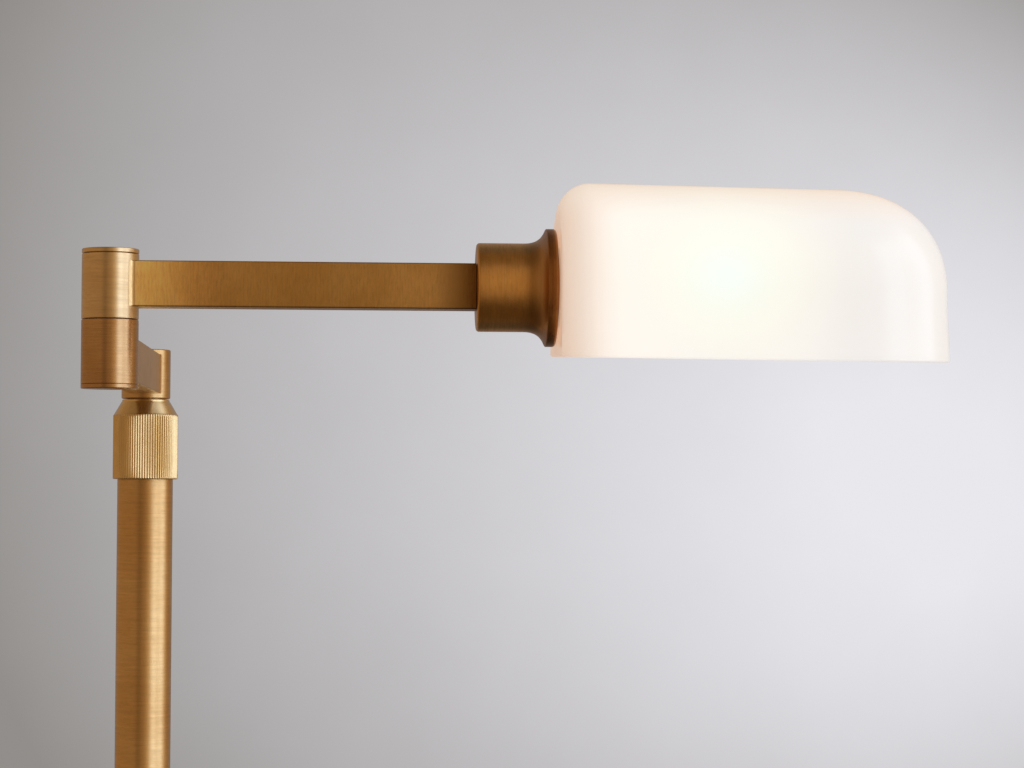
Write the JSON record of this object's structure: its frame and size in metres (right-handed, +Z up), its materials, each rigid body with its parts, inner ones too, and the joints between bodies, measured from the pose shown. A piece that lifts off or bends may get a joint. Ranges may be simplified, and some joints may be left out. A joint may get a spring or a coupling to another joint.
{
  "type": "pharmacy floor lamp",
  "caption": "Brass floor lamp with a round weighted base, telescopic stem, two-part swing arm and an opal glass half-cylinder shade that tilts about the upper arm.",
  "frame": {"origin": "centre of the base's underside, on the stem's axis", "axes": "+Z up along the stem; arm 1 runs from the stem along -Y to the elbow; arm 2 runs from the elbow along +X to the shade"},
  "size_m": [0.5225, 0.4013, 1.1819],
  "materials": {
    "satin_brass": "brushed satin, lightly aged",
    "dark_brass": "dark bronze satin",
    "inner_brass": "machined",
    "steel": "zinc plated",
    "cast_iron": "rough cast",
    "black_rubber": "matte",
    "nylon": "matte",
    "phenolic": "semi-matte",
    "bulb_plastic": "gloss",
    "bulb_diffuser": "frosted, lit",
    "opal_glass": "polished opal, lit from inside"
  },
  "bodies": {
    "base": {"base_pad": "black_rubber", "base_weight": "cast_iron", "base_cover": "satin_brass", "base_nut": "steel", "base_washer": "steel", "base_nipple": "steel", "cord_gland": "black_rubber", "stem_foot": "satin_brass", "stem_plug": "inner_brass", "stem_tube": "satin_brass", "guide_bush": "nylon", "collet": "nylon"},
    "collar": {"reeded_collar": "satin_brass"},
    "extension": {"inner_rod": "satin_brass", "rod_glide": "nylon", "stem_spindle": "steel", "stem_thrust_washer": "nylon", "stem_spring_washer": "steel", "stem_nut": "steel"},
    "lower_arm": {"stem_barrel": "satin_brass", "stem_barrel_cap": "satin_brass", "lower_arm_bar": "satin_brass", "elbow_lower_barrel": "satin_brass", "elbow_bottom_cap": "satin_brass", "elbow_pivot": "steel", "elbow_bottom_nut": "steel", "elbow_bottom_washer": "steel", "elbow_friction_washer": "nylon", "elbow_spring_washer": "steel", "elbow_top_nut": "steel"},
    "upper_arm": {"elbow_upper_barrel": "satin_brass", "elbow_top_cap": "satin_brass", "upper_arm_bar": "satin_brass", "upper_arm_plug": "inner_brass", "tilt_pivot": "steel", "tilt_friction_washer": "nylon", "tilt_spring_washer": "steel", "tilt_nut": "steel"},
    "shade_head": {"socket_cup": "dark_brass", "lamp_holder": "phenolic", "holder_spacer_left": "steel", "holder_spacer_right": "steel", "holder_screw_left": "steel", "holder_screw_right": "steel", "screw_shell": "inner_brass", "centre_contact": "inner_brass", "bulb_contact": "inner_brass", "bulb_cap": "steel", "bulb_housing": "bulb_plastic", "bulb_globe": "bulb_diffuser", "glass_shade": "opal_glass", "shade_gasket": "black_rubber", "shade_ring": "phenolic"}
  },
  "joints": [
    {"name": "collar_twist", "type": "hinge", "parent": "base", "child": "collar", "pos_m": [0, 0, 1.06], "axis": [0, 0, 1], "range_deg": [0, 180]},
    {"name": "height_slide", "type": "slide", "parent": "base", "child": "extension", "axis": [0, 0, 1], "range_m": [0, 0.25]},
    {"name": "stem_swivel", "type": "hinge", "parent": "extension", "child": "lower_arm", "pos_m": [0, 0, 1.1], "axis": [0, 0, 1], "range_deg": [-170, 170]},
    {"name": "elbow_swivel", "type": "hinge", "parent": "lower_arm", "child": "upper_arm", "pos_m": [0, -0.225, 1.1], "axis": [0, 0, 1], "range_deg": [-245, 65]},
    {"name": "shade_tilt", "type": "hinge", "parent": "upper_arm", "child": "shade_head", "pos_m": [0.1698, -0.225, 1.1329], "axis": [1, 0, 0], "range_deg": [-90, 90]}
  ]
}
